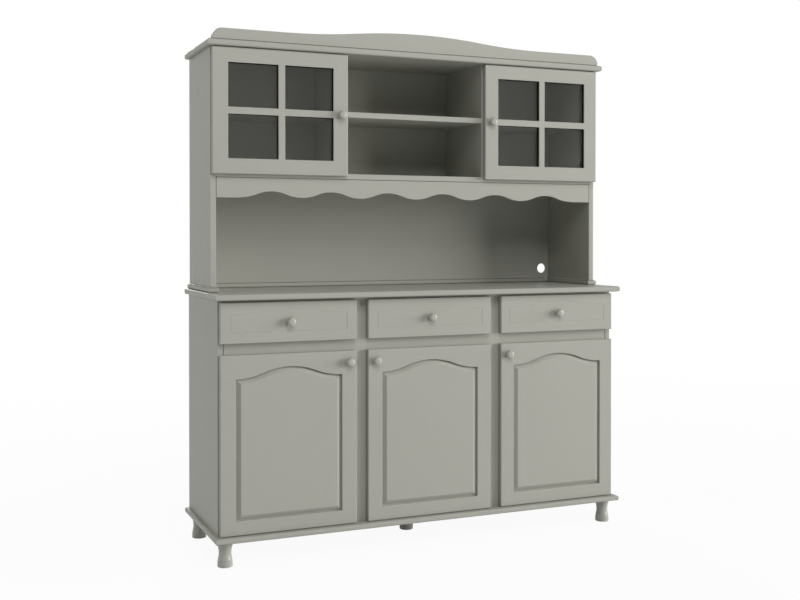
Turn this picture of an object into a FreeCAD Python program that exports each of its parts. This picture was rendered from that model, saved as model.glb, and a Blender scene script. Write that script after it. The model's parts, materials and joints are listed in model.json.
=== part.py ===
import FreeCAD, Part
import math
import os

# Dresser with hutch: a three-door, three-drawer base with a glazed hutch standing on its top.
# Millimetres. X runs to the right, Y to the back and Z up. The origin lies on the floor,
# in the middle of the width and of the top's depth.

# Boards
board = 18.0
back_panel = 6.0
back_inset = 9.0
groove_depth = 6.0
groove_play = 0.1
eased_edge = 1.0
joint_bevel = 1.2

# Base cupboard
carcass_width = 1450.0
carcass_depth = 410.0
top_thickness = 19.0
top_front_overhang = 45.0
top_side_overhang = 15.0
plinth_thickness = 17.0
plinth_front_overhang = 41.0
plinth_side_overhang = 15.0
moulded_edge = 6.0
shelf_setback = 25.0
cupboard_shelf_rise = 300.0

# Turned feet
foot_height = 79.0
foot_side_inset = 25.0
foot_front_inset = 7.0
foot_back_inset = 42.0
foot_base_radius = 24.0
foot_waist_radius = 18.7
foot_waist_height = 49.0
foot_cap_radius = 23.0

# Doors and drawer fronts of the base
front_thickness = 18.0
front_standoff = 3.0
front_bevel = 2.0
door_reveal = 3.5
door_gap = 40.5
door_height = 566.0
door_floor_gap = 2.0
rail_show = 36.0
top_rail_height = 20.0
drawer_front_height = 129.0
drawer_top_gap = 7.5

# Fielded panel routed into each base door
field_side_margin = 50.5
field_bottom_margin = 46.0
field_shoulder_drop = 75.5
field_arch_rise = 34.0
field_groove_depth = 10.0
field_groove_floor = 2.0
field_groove_width = 16.0

# Fine line routed into each drawer front
line_side_margin = 34.0
line_bottom_margin = 35.0
line_shoulder_drop = 39.5
line_arch_rise = 18.0
line_half_width = 1.6
line_depth = 1.3

# Drawer boxes and their slides
drawer_side = 12.0
drawer_top_room = 4.0
drawer_back_room = 58.0
drawer_box_rise = 8.0
drawer_bottom = 4.0
drawer_bottom_rise = 10.0
slide_thickness = 12.5
slide_height = 36.0
slide_setback = 5.0
slide_back_room = 2.0
slide_rise = 27.0
slide_steel = 1.5
slide_outer_lip = 9.0
slide_inner_lip = 7.5
slide_play = 0.3
batten_height = 60.0

# Turned knobs
knob_length = 23.5
knob_radius = 14.5
knob_base_radius = 7.0
knob_rim_height = 17.0
knob_face_radius = 10.0
knob_door_inset = 27.0
knob_door_drop = 37.0
knob_glazed_inset = 25.0

# Hutch
hutch_side_setback = 3.0
hutch_depth = 308.0
foot_rail_height = 18.0
foot_rail_lip = 8.0
foot_rail_radius = 6.0
niche_height = 354.5
hutch_clear_height = 400.5
hutch_divider_show = 4.3
hutch_shelf_rise = 191.5
glazed_shelf_setback = 30.0
crown_thickness = 20.0
crown_front_overhang = 32.0
crown_side_overhang = 16.0

# Scalloped valance under the hutch floor
valance_drop = 66.0
scallop_end_width = 83.0
scallop_height = 20.0
scallop_end_drop = 1.5
scallop_count = 6

# Pediment standing on the crown
pediment_thickness = 15.0
pediment_end_setback = 15.0
pediment_setback = 6.0
pediment_end_height = 36.0
pediment_end_radius = 33.0
pediment_crest_height = 62.0
pediment_sweep = 470.0

# Glazed doors of the hutch
glazed_reveal = 1.5
glazed_width = 461.5
glazed_floor_overlap = 8.5
glazed_top_gap = 2.5
glazed_stile = 52.0
glazed_bottom_rail = 50.0
glazed_top_rail = 48.5
glazing_bar = 23.0
glass_thickness = 4.0
glass_rebate = 8.0
glass_play = 0.5
pane_edge = 1.0

# Cable hole in the hutch back
cable_hole_radius = 18.5
cable_hole_side = 30.5
cable_hole_rise = 54.0

# Concealed cup hinges
hinge_pin_inset = 9.0
hinge_pin_depth = 10.0
hinge_slot_room = 3.5
hinge_arm_width = 10.0
hinge_arm_offset = 12.5
hinge_arm_thickness = 2.5
hinge_neck_thickness = 3.5
hinge_cup_radius = 17.5
hinge_cup_edge = 3.0
hinge_cup_wall = 0.8
hinge_cup_play = 0.1
hinge_slot_play = 0.3
hinge_plate_setback = 14.0
hinge_plate_length = 44.0
hinge_plate_height = 20.0
base_hinge_inset = 90.0
glazed_hinge_inset = 70.0

# Levels, from the floor up
plinth_bottom = foot_height
plinth_top = plinth_bottom + plinth_thickness
door_bottom = plinth_top + door_floor_gap
door_top = door_bottom + door_height
drawer_bottom_level = door_top + rail_show
drawer_top_level = drawer_bottom_level + drawer_front_height
top_bottom = drawer_top_level + drawer_top_gap
top_rail_bottom = top_bottom - top_rail_height
top_level = top_bottom + top_thickness
hutch_bottom = top_level + foot_rail_height
floor_bottom = hutch_bottom + niche_height
floor_top = floor_bottom + board
crown_bottom = floor_top + hutch_clear_height
crown_top = crown_bottom + crown_thickness
hutch_shelf_bottom = floor_top + hutch_shelf_rise

# Depths, from the back forward
back = (carcass_depth + top_front_overhang) / 2.0
carcass_front = back - carcass_depth
hutch_front = back - hutch_depth
panel_back = back - back_inset
panel_front = panel_back - back_panel
drawer_back = panel_front - drawer_back_room
drawer_box_depth = drawer_back - carcass_front + front_standoff
slide_front = carcass_front + slide_setback
slide_back = drawer_back - slide_back_room

# Widths
side_outer = carcass_width / 2.0
side_inner = side_outer - board
door_overlay = board - door_reveal
door_width = (carcass_width - 2.0 * door_reveal - 2.0 * door_gap) / 3.0
door_pitch = door_width + door_gap
stile_width = door_gap + 2.0 * door_overlay
stile_centre = door_pitch / 2.0
bay_width = door_width - 2.0 * door_overlay
divider_half = board / 2.0
batten_thickness = (stile_width - board) / 2.0
rail_bottom = door_top - door_overlay
rail_top = drawer_bottom_level + door_overlay
drawer_box_bottom = rail_top + drawer_box_rise
drawer_box_top = top_rail_bottom - drawer_top_room
hutch_outer = side_outer - hutch_side_setback
hutch_inner = hutch_outer - board
hutch_bay_inner = hutch_outer - glazed_reveal - glazed_width - hutch_divider_show
scallop_pitch = 2.0 * (hutch_inner - scallop_end_width) / scallop_count
glazed_overlay = board - glazed_reveal
glazed_bottom = floor_top - glazed_floor_overlap
glazed_top = crown_bottom - glazed_top_gap

vector = FreeCAD.Vector
left, right = -1, 1
sides = {"left": left, "right": right}


def box(x0, x1, y0, y1, z0, z1):
    """A board between two corners."""
    low = vector(min(x0, x1), min(y0, y1), min(z0, z1))
    return Part.makeBox(abs(x1 - x0), abs(y1 - y0), abs(z1 - z0), low)


def save(name, *solids):
    """Write one node, as a single solid or as a group of separate solids."""
    shape = solids[0] if len(solids) == 1 else Part.makeCompound(list(solids))
    shape.exportStep("parts/" + name + ".step")


def face_of(edges):
    return Part.Face(Part.Wire(edges))


def line(start, end):
    return Part.LineSegment(start, end).toShape()


def arc(start, middle, end):
    return Part.Arc(start, middle, end).toShape()


def mirrored(shape):
    """The same shape on the other side of the middle plane."""
    return shape.mirror(vector(0, 0, 0), vector(1, 0, 0))


def turned(outline, centre, axis):
    """Turn an outline of radii and heights on the lathe, then stand it on centre along axis."""
    heights = [height for radius, height in outline]
    closed = [(0, heights[0])] + outline + [(0, heights[-1])]
    points = [vector(radius, 0, height) for radius, height in closed]
    edges = [line(a, b) for a, b in zip(points, points[1:] + points[:1])]
    solid = face_of(edges).revolve(vector(0, 0, 0), vector(0, 0, 1), 360)
    solid.Placement = FreeCAD.Placement(centre, FreeCAD.Rotation(vector(0, 0, 1), axis))
    return solid


def eased(shape, radius, chosen):
    """Round the edges whose middle point passes the test."""
    edges = [edge for edge in shape.Edges if chosen(edge.CenterOfMass)]
    return shape.makeFillet(radius, edges)


def jointed(shape, *middles):
    """Bevel the front edges with these middle points, where the board meets a flush neighbour."""
    edges = [edge for edge in shape.Edges
             if any(edge.CenterOfMass.distanceToPoint(middle) < eased_edge for middle in middles)]
    return shape.makeChamfer(joint_bevel, edges)


def end_joints(half_width, front, z0, z1):
    """Middle points of the upright front edges at the two ends of a board."""
    return [vector(side * half_width, front, (z0 + z1) / 2.0) for side in (left, right)]


def moulded_board(half_width, front, z0, z1):
    """A slab whose front and ends carry a rounded moulding; its back edge stays square."""
    slab = box(-half_width, half_width, front, back, z0, z1)
    middle = (z0 + z1) / 2.0
    return eased(slab, moulded_edge,
                 lambda at: abs(at.z - middle) > eased_edge and at.y < back - eased_edge)


# Turned feet, plinth and carcass of the base


def foot(x, y):
    """Waisted spool, turned from one piece."""
    outline = [
        (foot_base_radius, 0),
        (foot_waist_radius, foot_waist_height),
        (foot_cap_radius, foot_height),
    ]
    return turned(outline, vector(x, y, 0), vector(0, 0, 1))


def base_side(side):
    """Side panel with the groove for the back panel."""
    panel = box(side * side_inner, side * side_outer, carcass_front, back, plinth_top, top_bottom)
    groove = box(side * side_inner, side * (side_inner + groove_depth),
                 panel_front - groove_play, panel_back + groove_play, plinth_top, top_bottom)
    front_edge = vector(side * side_inner, carcass_front, (plinth_top + top_bottom) / 2.0)
    return jointed(panel.cut(groove), front_edge)


def build_base_carcass():
    foot_x = side_outer - foot_side_inset
    foot_front = carcass_front + foot_front_inset
    foot_back = back - foot_back_inset
    middle = (foot_front + foot_back) / 2.0
    corners = [foot(side * foot_x, y) for side in (left, right) for y in (foot_front, foot_back)]
    save("turned_feet", *corners, foot(0, middle))

    save("plinth_board", moulded_board(side_outer + plinth_side_overhang,
                                       carcass_front - plinth_front_overhang,
                                       plinth_bottom, plinth_top))
    for name, side in sides.items():
        save("base_" + name + "_side", base_side(side))
    reach = side_inner + groove_depth - groove_play
    save("base_back", box(-reach, reach, panel_front, panel_back, plinth_top, top_bottom))
    save("countertop", moulded_board(side_outer + top_side_overhang,
                                     carcass_front - top_front_overhang,
                                     top_bottom, top_level))


def build_face_frame():
    """Two stiles and two rails, halved into each other; the rails show unbroken at the front."""
    frame_back = carcass_front + board
    half_lap = carcass_front + board / 2.0
    levels = {"mid_rail": (rail_bottom, rail_top), "top_rail": (top_rail_bottom, top_bottom)}
    rails = {}
    for name, (z0, z1) in levels.items():
        rail = box(-side_inner, side_inner, carcass_front, frame_back, z0, z1)
        rails[name] = jointed(rail, *end_joints(side_inner, carcass_front, z0, z1))
    for name, side in sides.items():
        x0 = side * stile_centre - stile_width / 2.0
        x1 = x0 + stile_width
        stile = box(x0, x1, carcass_front, frame_back, plinth_top, top_bottom)
        for rail, (z0, z1) in levels.items():
            stile = stile.cut(box(x0, x1, carcass_front, half_lap, z0, z1))
            rails[rail] = rails[rail].cut(box(x0, x1, half_lap, frame_back, z0, z1))
        save(name + "_stile", stile)
        divider_x = side * stile_centre
        save(name + "_divider", box(divider_x - divider_half, divider_x + divider_half,
                                    frame_back, panel_front, plinth_top, top_bottom))
    for name, rail in rails.items():
        save(name, rail)


def build_cupboard_shelves():
    """One fixed shelf in each of the three cupboards."""
    front = carcass_front + board + shelf_setback
    z0 = plinth_top + cupboard_shelf_rise
    wall = stile_centre - divider_half
    hinge_side = wall - batten_thickness
    shelves = [
        box(-side_inner, -stile_centre - divider_half, front, panel_front, z0, z0 + board),
        box(-wall, hinge_side, front, panel_front, z0, z0 + board),
        box(stile_centre + divider_half, side_inner, front, panel_front, z0, z0 + board),
    ]
    save("cupboard_shelves", *shelves)


# Battens that bring the dividers out to the width of the stiles


def bay_wall(bay, side):
    """The plane beside a drawer or door opening that its slide or hinge is screwed to."""
    return bay * door_pitch + side * bay_width / 2.0


def slide_level():
    return drawer_box_bottom + slide_rise


def build_battens():
    y0 = carcass_front + board
    y1 = slide_back
    z0 = slide_level() - batten_height / 2.0
    z1 = z0 + batten_height
    battens = []
    for side in (left, right):
        for face in (left, right):
            wall = side * stile_centre + face * divider_half
            battens.append(box(wall, wall + face * batten_thickness, y0, y1, z0, z1))
    save("slide_battens", *battens)

    wall = stile_centre - divider_half
    y1 = panel_front
    save("hinge_batten", box(wall - batten_thickness, wall, y0, y1, plinth_top, rail_bottom))


# Routed lines and fields of the fronts


def arched_outline(centre_x, y, half_width, z_bottom, z_shoulder, rise, inset):
    """Closed outline with a swept arch on top, moved inwards by inset; all its arcs are tangent."""
    radius = (half_width ** 2 + rise ** 2) / (4.0 * rise)
    crest = vector(0, 0, z_shoulder + rise - radius)
    x = half_width - inset
    z0 = z_bottom + inset

    def at(px, pz):
        return vector(centre_x + px, y, pz)

    def around(middle_x, middle_z, size, angle):
        return at(middle_x + size * math.cos(angle), middle_z + size * math.sin(angle))

    valley_z = z_shoulder + radius
    lean = math.atan2(valley_z - crest.z, half_width)
    corner_angle = -math.pi / 2.0 - math.asin(inset / (radius + inset))
    joint_angle = math.pi + lean
    bend_angle = (corner_angle % (2.0 * math.pi) + joint_angle) / 2.0
    outer = radius + inset
    inner = radius - inset
    right_corner = around(half_width, valley_z, outer, corner_angle)
    right_bend = around(half_width, valley_z, outer, bend_angle)
    right_joint = around(0, crest.z, inner, lean)
    top = around(0, crest.z, inner, math.pi / 2.0)
    left_joint = around(0, crest.z, inner, math.pi - lean)
    left_bend = around(-half_width, valley_z, outer, math.pi - bend_angle)
    left_corner = around(-half_width, valley_z, outer, math.pi - corner_angle)
    return Part.Wire([
        line(at(-x, z0), at(x, z0)),
        line(at(x, z0), right_corner),
        arc(right_corner, right_bend, right_joint),
        arc(right_joint, top, left_joint),
        arc(left_joint, left_bend, left_corner),
        line(left_corner, at(-x, z0)),
    ])


def front_board(x0, x1, z0, z1, front_y):
    """A door or drawer front, bevelled round its face and along its upright back edges."""
    blank = box(x0, x1, front_y, front_y + front_thickness, z0, z1)
    middle_z = (z0 + z1) / 2.0
    edges = [edge for edge in blank.Edges
             if abs(edge.CenterOfMass.y - front_y) < eased_edge
             or (abs(edge.CenterOfMass.z - middle_z) < eased_edge)]
    return blank.makeChamfer(front_bevel, edges)


def field_groove(centre_x, front_y, half_width, z_bottom, z_shoulder):
    """Square step outside, then a bevel that rises to the field."""
    def outline(depth, inset):
        return arched_outline(centre_x, front_y + depth, half_width, z_bottom, z_shoulder,
                              field_arch_rise, inset)
    pocket = Part.Face(outline(0, 0)).extrude(vector(0, field_groove_depth, 0))
    field = Part.makeLoft([outline(0, field_groove_width),
                           outline(field_groove_depth, field_groove_floor)], True, True)
    return pocket.cut(field)


def routed_line(centre_x, front_y, half_width, z_bottom, z_shoulder):
    """A fine V groove along an arched outline."""
    def outline(depth, inset):
        return arched_outline(centre_x, front_y + depth, half_width, z_bottom, z_shoulder,
                              line_arch_rise, inset)
    whole = Part.makeLoft([outline(0, -line_half_width), outline(line_depth, 0)], True, True)
    kept = Part.makeLoft([outline(0, line_half_width), outline(line_depth, 0)], True, True)
    return whole.cut(kept)


def knob(x, front_y, z):
    """Turned knob: it flares from its foot to the rim and closes in a bevelled face."""
    outline = [
        (knob_base_radius, 0),
        (knob_radius, knob_rim_height),
        (knob_face_radius, knob_length),
    ]
    return turned(outline, vector(x, front_y, z), vector(0, -1, 0))


# Concealed hinges, drawn for a door hung on its left edge and mirrored for the other hand


def pin_place(door_edge, side, front_y):
    """Middle line of a hinge pin; side tells which edge of the door it is on."""
    return door_edge - side * hinge_pin_inset, front_y + front_thickness - hinge_pin_depth


def handed(shape, x, y, z, side):
    """Set a hinge piece, drawn about its pin for a left edge, on its own pin."""
    piece = mirrored(shape) if side == right else shape.copy()
    piece.translate(vector(x, y, z))
    return piece


def cup_depth():
    return hinge_pin_depth + hinge_slot_room + hinge_cup_wall


def cup_centre():
    """Middle of the cup, from the pin, towards the middle of the door."""
    return hinge_cup_edge + hinge_cup_radius - hinge_pin_inset


def upright_disc(x, y, radius, length):
    """A round bar that lies along Y, from y towards the back."""
    return Part.makeCylinder(radius, length, vector(x, y, 0), vector(0, 1, 0))


def cup_pocket():
    """The hole that is bored in the back of a door for one cup."""
    length = cup_depth() + front_thickness
    return upright_disc(cup_centre(), hinge_pin_depth - cup_depth(),
                        hinge_cup_radius + hinge_cup_play, length)


def hinge_cup():
    """Cast cup that is pressed into the door, slotted for the arm."""
    bottom = hinge_pin_depth - cup_depth()
    cup = upright_disc(cup_centre(), bottom, hinge_cup_radius, cup_depth())
    reach = math.hypot(hinge_arm_offset + hinge_arm_thickness, hinge_neck_thickness / 2.0)
    half_slot = hinge_arm_width / 2.0 + hinge_slot_play
    slot = box(-hinge_slot_room, reach + hinge_slot_play, -hinge_slot_room, hinge_pin_depth,
               -half_slot, half_slot)
    return cup.cut(slot)


def hinge_arm():
    """Tongue with a round eye at the pin, cranked to a straight arm that runs into the cupboard."""
    half = hinge_arm_width / 2.0
    outer = hinge_arm_offset + hinge_arm_thickness
    neck = hinge_neck_thickness / 2.0
    tail = hinge_pin_depth + front_standoff + hinge_plate_setback + hinge_plate_length
    eye = Part.makeCylinder(neck, hinge_arm_width, vector(0, 0, -half))
    tongue = box(0, outer, -neck, neck, -half, half)
    leg = box(hinge_arm_offset, outer, -neck, tail, -half, half)
    return eye.fuse([tongue, leg]).removeSplitter()


def hinge_plate(overlay):
    """Mounting plate between the cupboard wall and the arm."""
    wall = overlay - hinge_pin_inset
    y0 = hinge_pin_depth + front_standoff + hinge_plate_setback
    half = hinge_plate_height / 2.0
    return box(wall, hinge_arm_offset, y0, y0 + hinge_plate_length, -half, half)


class HingeSet:
    """Collects the arms and plates of all doors, which stay on the cupboard."""

    def __init__(self):
        self.arms = []
        self.plates = []

    def hang(self, name, door, edge, side, front_y, levels, overlay):
        """Save the cups of one door, and return the door bored for them."""
        x, y = pin_place(edge, side, front_y)
        cups = []
        for z in levels:
            door = door.cut(handed(cup_pocket(), x, y, z, side))
            cups.append(handed(hinge_cup(), x, y, z, side))
            self.arms.append(handed(hinge_arm(), x, y, z, side))
            self.plates.append(handed(hinge_plate(overlay), x, y, z, side))
        save(name + "_hinge_cups", *cups)
        return door

    def save(self):
        save("hinge_arms", *self.arms)
        save("hinge_plates", *self.plates)


# Doors and drawers of the base


bays = {"left": -1, "centre": 0, "right": 1}
hinge_edges = {"left": left, "centre": right, "right": right}


def build_base_doors(hinges):
    front_y = carcass_front - front_standoff - front_thickness
    for name, bay in bays.items():
        centre_x = bay * door_pitch
        half = door_width / 2.0
        door = front_board(centre_x - half, centre_x + half, door_bottom, door_top, front_y)
        groove = field_groove(centre_x, front_y, half - field_side_margin,
                              door_bottom + field_bottom_margin, door_top - field_shoulder_drop)
        door = door.cut(groove)
        side = hinge_edges[name]
        levels = (door_bottom + base_hinge_inset, door_top - base_hinge_inset)
        door = hinges.hang(name + "_door", door, centre_x + side * half, side, front_y,
                           levels, door_overlay)
        knob_x = centre_x - side * (half - knob_door_inset)
        save(name + "_door", door, knob(knob_x, front_y, door_top - knob_door_drop))


def slide_channel(wall, side, reach, height, y0, y1, z):
    """A C section with its web on the plane wall and its lips towards side."""
    half = height / 2.0
    bar = box(wall, wall + side * reach, y0, y1, z - half, z + half)
    hollow = box(wall + side * slide_steel, wall + side * reach, y0, y1,
                 z - half + slide_steel, z + half - slide_steel)
    return bar.cut(hollow)


def drawer_box(centre_x, front_y):
    """Two sides, a back and a bottom that runs in grooves."""
    half = bay_width / 2.0 - slide_thickness
    y0 = front_y + front_thickness
    y1 = y0 + drawer_box_depth
    z0 = drawer_box_bottom
    z1 = drawer_box_top
    inner = half - drawer_side
    groove_z = z0 + drawer_bottom_rise
    tongue = drawer_side / 2.0
    reach = inner + tongue
    bottom = box(centre_x - reach, centre_x + reach, y0, y1 - drawer_side + tongue,
                 groove_z, groove_z + drawer_bottom)
    boards = [box(centre_x + side * inner, centre_x + side * half, y0, y1, z0, z1)
              for side in (left, right)]
    boards.append(box(centre_x - inner, centre_x + inner, y1 - drawer_side, y1, z0, z1))
    return [plank.cut(bottom) for plank in boards] + [bottom]


def build_drawers():
    front_y = carcass_front - front_standoff - front_thickness
    inner_height = slide_height - 2.0 * (slide_steel + slide_play)
    z = slide_level()
    cabinet_slides = []
    for name, bay in bays.items():
        centre_x = bay * door_pitch
        half = door_width / 2.0
        front = front_board(centre_x - half, centre_x + half,
                            drawer_bottom_level, drawer_top_level, front_y)
        groove = routed_line(centre_x, front_y, half - line_side_margin,
                             drawer_bottom_level + line_bottom_margin,
                             drawer_top_level - line_shoulder_drop)
        middle_z = (drawer_bottom_level + drawer_top_level) / 2.0
        save(name + "_drawer_front", front.cut(groove), knob(centre_x, front_y, middle_z))
        save(name + "_drawer_box", *drawer_box(centre_x, front_y))
        drawer_slides = []
        for side in (left, right):
            wall = bay_wall(bay, side)
            cabinet_slides.append(slide_channel(wall, -side, slide_outer_lip + slide_steel,
                                                slide_height, slide_front, slide_back, z))
            drawer_slides.append(slide_channel(wall - side * slide_thickness, side,
                                               slide_inner_lip + slide_steel,
                                               inner_height, slide_front, slide_back, z))
        save(name + "_drawer_slides", *drawer_slides)
    save("cabinet_slides", *cabinet_slides)


# Carcass of the hutch


def foot_rail(side):
    """Rounded rail that a hutch side stands on; it shows all round the foot of the side."""
    x0 = side * (hutch_inner - foot_rail_lip)
    x1 = side * (hutch_outer + foot_rail_lip)
    y0 = hutch_front - foot_rail_lip
    rail = box(x0, x1, y0, back, top_level, hutch_bottom)
    long_edges = eased(rail, foot_rail_radius,
                       lambda middle: middle.y < back - eased_edge
                       and min(abs(middle.z - top_level), abs(middle.z - hutch_bottom)) < eased_edge)
    return long_edges


def hutch_side(side):
    panel = box(side * hutch_inner, side * hutch_outer, hutch_front, back, hutch_bottom, crown_bottom)
    groove = box(side * hutch_inner, side * (hutch_inner + groove_depth),
                 panel_front - groove_play, panel_back + groove_play, hutch_bottom, crown_bottom)
    front_edge = vector(side * hutch_inner, hutch_front, (hutch_bottom + crown_bottom) / 2.0)
    return jointed(panel.cut(groove), front_edge)


def scalloped_valance():
    """Board with a waved lower edge of tangent arcs between two flat ends."""
    low = floor_bottom - valance_drop
    trough = low + scallop_end_drop
    middle = trough + scallop_height / 2.0
    crest = trough + scallop_height
    quarter = scallop_pitch / 4.0
    radius = (quarter ** 2 + (scallop_height / 2.0) ** 2) / scallop_height
    bend = math.asin(quarter / radius) / 2.0
    bend_x = radius * math.sin(bend)
    bend_z = trough + radius * (1.0 - math.cos(bend))
    end = hutch_inner - scallop_end_width

    def at(x, z):
        return vector(x, hutch_front, z)

    def wave(x, turning):
        return arc(at(x - quarter, middle), at(x, turning), at(x + quarter, middle))

    edges = [
        line(at(-hutch_inner, floor_bottom), at(-hutch_inner, low)),
        line(at(-hutch_inner, low), at(-end, low)),
        line(at(-end, low), at(-end, trough)),
        arc(at(-end, trough), at(bend_x - end, bend_z), at(quarter - end, middle)),
    ]
    for step in range(2 * scallop_count - 1):
        turning = crest if step % 2 == 0 else trough
        edges.append(wave((2 * step + 2) * quarter - end, turning))
    edges += [
        arc(at(end - quarter, middle), at(end - bend_x, bend_z), at(end, trough)),
        line(at(end, trough), at(end, low)),
        line(at(end, low), at(hutch_inner, low)),
        line(at(hutch_inner, low), at(hutch_inner, floor_bottom)),
        line(at(hutch_inner, floor_bottom), at(-hutch_inner, floor_bottom)),
    ]
    valance = face_of(edges).extrude(vector(0, board, 0))
    return jointed(valance, at(0, floor_bottom), *end_joints(hutch_inner, hutch_front, low, floor_bottom))


def pediment():
    """Board on the crown: rounded ends, level shoulders and a swept crest in the middle."""
    half = hutch_outer + crown_side_overhang - pediment_end_setback
    y = hutch_front - crown_front_overhang + pediment_setback
    shoulder = crown_top + pediment_end_height
    crest = crown_top + pediment_crest_height
    rise = pediment_crest_height - pediment_end_height
    radius = (pediment_sweep ** 2 + rise ** 2) / (4.0 * rise)
    sweep = math.asin(pediment_sweep / (2.0 * radius)) / 2.0
    bend_x = radius * math.sin(sweep)
    bend_z = radius * (1.0 - math.cos(sweep))
    round_x = half - pediment_end_radius
    spring = shoulder - pediment_end_radius
    turn = pediment_end_radius * math.sqrt(0.5)

    def at(px, pz):
        return vector(px, y, pz)

    edges = [line(at(-half, crown_top), at(half, crown_top)), line(at(half, crown_top), at(half, spring))]
    edges.append(arc(at(half, spring), at(round_x + turn, spring + turn), at(round_x, shoulder)))
    edges.append(line(at(round_x, shoulder), at(pediment_sweep, shoulder)))
    edges.append(arc(at(pediment_sweep, shoulder), at(pediment_sweep - bend_x, shoulder + bend_z),
                     at(pediment_sweep / 2.0, shoulder + rise / 2.0)))
    edges.append(arc(at(pediment_sweep / 2.0, shoulder + rise / 2.0), at(0, crest),
                     at(-pediment_sweep / 2.0, shoulder + rise / 2.0)))
    edges.append(arc(at(-pediment_sweep / 2.0, shoulder + rise / 2.0),
                     at(bend_x - pediment_sweep, shoulder + bend_z), at(-pediment_sweep, shoulder)))
    edges.append(line(at(-pediment_sweep, shoulder), at(-round_x, shoulder)))
    edges.append(arc(at(-round_x, shoulder), at(-round_x - turn, spring + turn), at(-half, spring)))
    edges.append(line(at(-half, spring), at(-half, crown_top)))
    return face_of(edges).extrude(vector(0, pediment_thickness, 0))


def build_hutch_carcass():
    for name, side in sides.items():
        save("hutch_" + name + "_foot", foot_rail(side))
        save("hutch_" + name + "_side", hutch_side(side))
    rail_reach = hutch_inner - foot_rail_lip
    back_rail = box(-rail_reach, rail_reach, panel_front - foot_rail_lip, back, top_level, hutch_bottom)
    rail_front = panel_front - foot_rail_lip
    save("hutch_back_rail", eased(back_rail, foot_rail_radius,
                                  lambda middle: abs(middle.y - rail_front) < eased_edge
                                  and abs(middle.x) < eased_edge))

    reach = hutch_inner + groove_depth - groove_play
    back_board = box(-reach, reach, panel_front, panel_back, hutch_bottom, crown_bottom)
    hole = upright_disc(hutch_inner - cable_hole_side, panel_front, cable_hole_radius, back_panel)
    hole.translate(vector(0, 0, top_level + cable_hole_rise))
    save("hutch_back", back_board.cut(hole))

    floor = box(-hutch_inner, hutch_inner, hutch_front, panel_front, floor_bottom, floor_top)
    save("hutch_floor", jointed(floor, vector(0, hutch_front, floor_bottom),
                                *end_joints(hutch_inner, hutch_front, floor_bottom, floor_top)))
    save("valance", scalloped_valance())
    for name, side in sides.items():
        save("hutch_" + name + "_divider", box(side * hutch_bay_inner, side * (hutch_bay_inner + board),
                                               hutch_front, panel_front, floor_top, crown_bottom))
    save("centre_shelf", box(-hutch_bay_inner, hutch_bay_inner, hutch_front, panel_front,
                             hutch_shelf_bottom, hutch_shelf_bottom + board))
    shelves = [box(side * (hutch_bay_inner + board), side * hutch_inner,
                   hutch_front + glazed_shelf_setback, panel_front,
                   hutch_shelf_bottom, hutch_shelf_bottom + board) for side in (left, right)]
    save("glazed_shelves", *shelves)
    save("crown_board", moulded_board(hutch_outer + crown_side_overhang,
                                      hutch_front - crown_front_overhang, crown_bottom, crown_top))
    save("pediment", pediment())


# Glazed doors of the hutch


def glazed_frame(x0, x1, front_y):
    """Frame with two by two panes; the glass lies in a rebate behind the bars."""
    frame = front_board(x0, x1, glazed_bottom, glazed_top, front_y)
    low = glazed_bottom + glazed_bottom_rail
    high = glazed_top - glazed_top_rail
    pane_width = (x1 - x0 - 2.0 * glazed_stile - glazing_bar) / 2.0
    pane_height = (high - low - glazing_bar) / 2.0
    back_y = front_y + front_thickness
    for column in (0, 1):
        for row in (0, 1):
            px = x0 + glazed_stile + column * (pane_width + glazing_bar)
            pz = low + row * (pane_height + glazing_bar)
            frame = frame.cut(box(px, px + pane_width, front_y, back_y, pz, pz + pane_height))
    rebate = box(x0 + glazed_stile - glass_rebate, x1 - glazed_stile + glass_rebate,
                 back_y - glass_thickness, back_y, low - glass_rebate, high + glass_rebate)
    inner = glass_rebate - glass_play
    glass = box(x0 + glazed_stile - inner, x1 - glazed_stile + inner,
                back_y - glass_thickness, back_y, low - inner, high + inner)
    frame = frame.cut(rebate)
    sharp = [e for e in frame.Edges
             if abs(e.CenterOfMass.y - front_y) < eased_edge / 10.0
             and x0 + glazed_stile / 2.0 < e.CenterOfMass.x < x1 - glazed_stile / 2.0
             and low - glass_rebate < e.CenterOfMass.z < high + glass_rebate]
    return frame.makeChamfer(pane_edge, sharp), glass


def build_glazed_doors(hinges):
    front_y = hutch_front - front_standoff - front_thickness
    for name, side in sides.items():
        edge = side * (hutch_outer - glazed_reveal)
        free = edge - side * glazed_width
        frame, glass = glazed_frame(min(edge, free), max(edge, free), front_y)
        levels = (glazed_bottom + glazed_hinge_inset, glazed_top - glazed_hinge_inset)
        frame = hinges.hang(name + "_glazed_door", frame, edge, side, front_y, levels, glazed_overlay)
        knob_z = (glazed_bottom + glazed_top) / 2.0
        save(name + "_glazed_door", frame, knob(free + side * knob_glazed_inset, front_y, knob_z))
        save(name + "_glass", glass)


def main():
    os.makedirs("parts", exist_ok=True)
    build_base_carcass()
    build_face_frame()
    build_cupboard_shelves()
    build_battens()
    hinges = HingeSet()
    build_base_doors(hinges)
    build_drawers()
    build_hutch_carcass()
    build_glazed_doors(hinges)
    hinges.save()


main()
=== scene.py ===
"""Dresser with hutch, dressed on its fixed frame.

The boards come from the frame. Here they are painted, the feet and knobs are turned, the hutch doors are
glazed, and the small hardware that shows when doors and drawers stand open is put in its place.
"""

import json
from math import cos, pi, radians, sin

import bmesh
import bpy
from bpy.props import FloatProperty, FloatVectorProperty, IntProperty, PointerProperty
from mathutils import Matrix, Vector

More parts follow.
